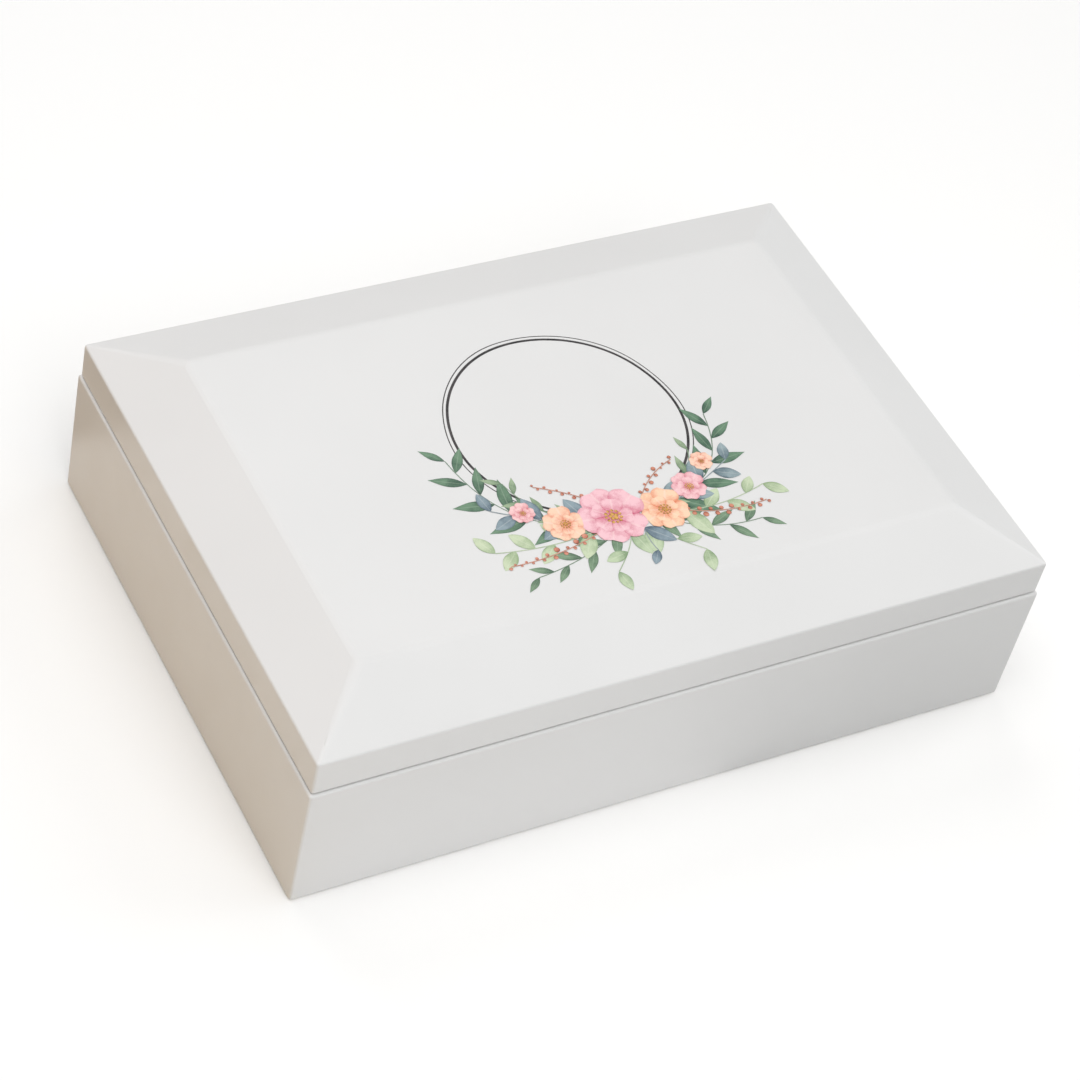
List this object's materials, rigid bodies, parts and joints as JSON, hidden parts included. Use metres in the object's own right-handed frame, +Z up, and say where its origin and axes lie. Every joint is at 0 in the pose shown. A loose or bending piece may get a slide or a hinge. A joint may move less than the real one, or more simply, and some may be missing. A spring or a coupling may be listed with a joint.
{
  "type": "jewellery box",
  "caption": "Rectangular lacquered wooden jewellery box with a bevelled lid on stop hinges and a velvet-lined interior of ring rolls and open bays.",
  "frame": {"origin": "middle of the felt underside, on the surface that the box stands on", "axes": "+X along the front from left to right, -Y out of the front, +Z up"},
  "size_m": [0.24, 0.1746, 0.0674],
  "materials": {
    "white_lacquer": "satin white lacquer",
    "lining_velvet": "short-pile cream velvet",
    "underside_felt": "pressed felt",
    "hinge_brass": "satin brass"
  },
  "bodies": {
    "base": {"base_front_wall": "white_lacquer", "base_right_wall": "white_lacquer", "base_back_wall": "white_lacquer", "base_left_wall": "white_lacquer", "bottom_board": "white_lacquer", "underside_felt": "underside_felt", "front_liner": "lining_velvet", "back_liner": "lining_velvet", "left_liner": "lining_velvet", "right_liner": "lining_velvet", "ring_bay_divider": "lining_velvet", "cross_divider": "lining_velvet", "front_bay_divider": "lining_velvet", "back_bay_floor_pad": "lining_velvet", "front_left_bay_floor_pad": "lining_velvet", "front_right_bay_floor_pad": "lining_velvet", "ring_roll_1": "lining_velvet", "ring_roll_2": "lining_velvet", "ring_roll_3": "lining_velvet", "ring_roll_4": "lining_velvet", "ring_roll_5": "lining_velvet", "ring_roll_6": "lining_velvet", "ring_roll_7": "lining_velvet", "ring_roll_8": "lining_velvet", "left_hinge_base_leaf": "hinge_brass", "left_hinge_pin": "hinge_brass", "left_hinge_base_screws": "hinge_brass", "right_hinge_base_leaf": "hinge_brass", "right_hinge_pin": "hinge_brass", "right_hinge_base_screws": "hinge_brass"},
    "lid": {"lid_top_panel": "white_lacquer", "lid_front_rail": "white_lacquer", "lid_right_rail": "white_lacquer", "lid_back_rail": "white_lacquer", "lid_left_rail": "white_lacquer", "lid_lining_pad": "lining_velvet", "left_hinge_lid_leaf": "hinge_brass", "left_hinge_lid_screws": "hinge_brass", "right_hinge_lid_leaf": "hinge_brass", "right_hinge_lid_screws": "hinge_brass"}
  },
  "joints": [
    {"name": "lid_hinge", "type": "hinge", "parent": "base", "child": "lid", "pos_m": [0, 0.0871, 0.04635], "axis": [-1, 0, 0], "range_deg": [0, 95]}
  ]
}
